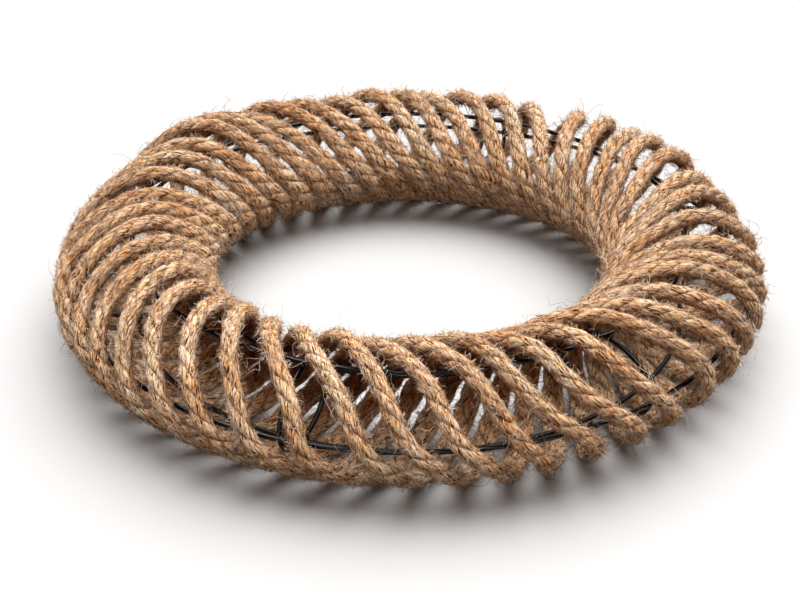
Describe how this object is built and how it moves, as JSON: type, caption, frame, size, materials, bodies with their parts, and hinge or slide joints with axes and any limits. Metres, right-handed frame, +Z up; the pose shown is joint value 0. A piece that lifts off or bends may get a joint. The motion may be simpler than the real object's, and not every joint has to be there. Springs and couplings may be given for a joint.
{
  "type": "rope ring",
  "caption": "Ring of jute rope wound in slanting turns round an open black wire cage, for a bird to climb, chew and perch on. It lies flat or hangs.",
  "frame": {"origin": "centre of the ring, on the surface that it lies on", "axes": "+Z up, along the ring's axis; -Y towards the front of the picture; +X to its right"},
  "size_m": [0.2976, 0.2978, 0.0604],
  "materials": {
    "jute": "natural, hairy three-strand rope",
    "black_wire": "gloss black"
  },
  "bodies": {
    "root": {"hoop_outer": "black_wire", "hoop_inner": "black_wire", "hoop_top": "black_wire", "hoop_bottom": "black_wire", "cross_ring_1": "black_wire", "cross_ring_2": "black_wire", "cross_ring_3": "black_wire", "cross_ring_4": "black_wire", "cross_ring_5": "black_wire", "cross_ring_6": "black_wire", "rope_1": "jute", "rope_2": "jute"}
  },
  "joints": []
}
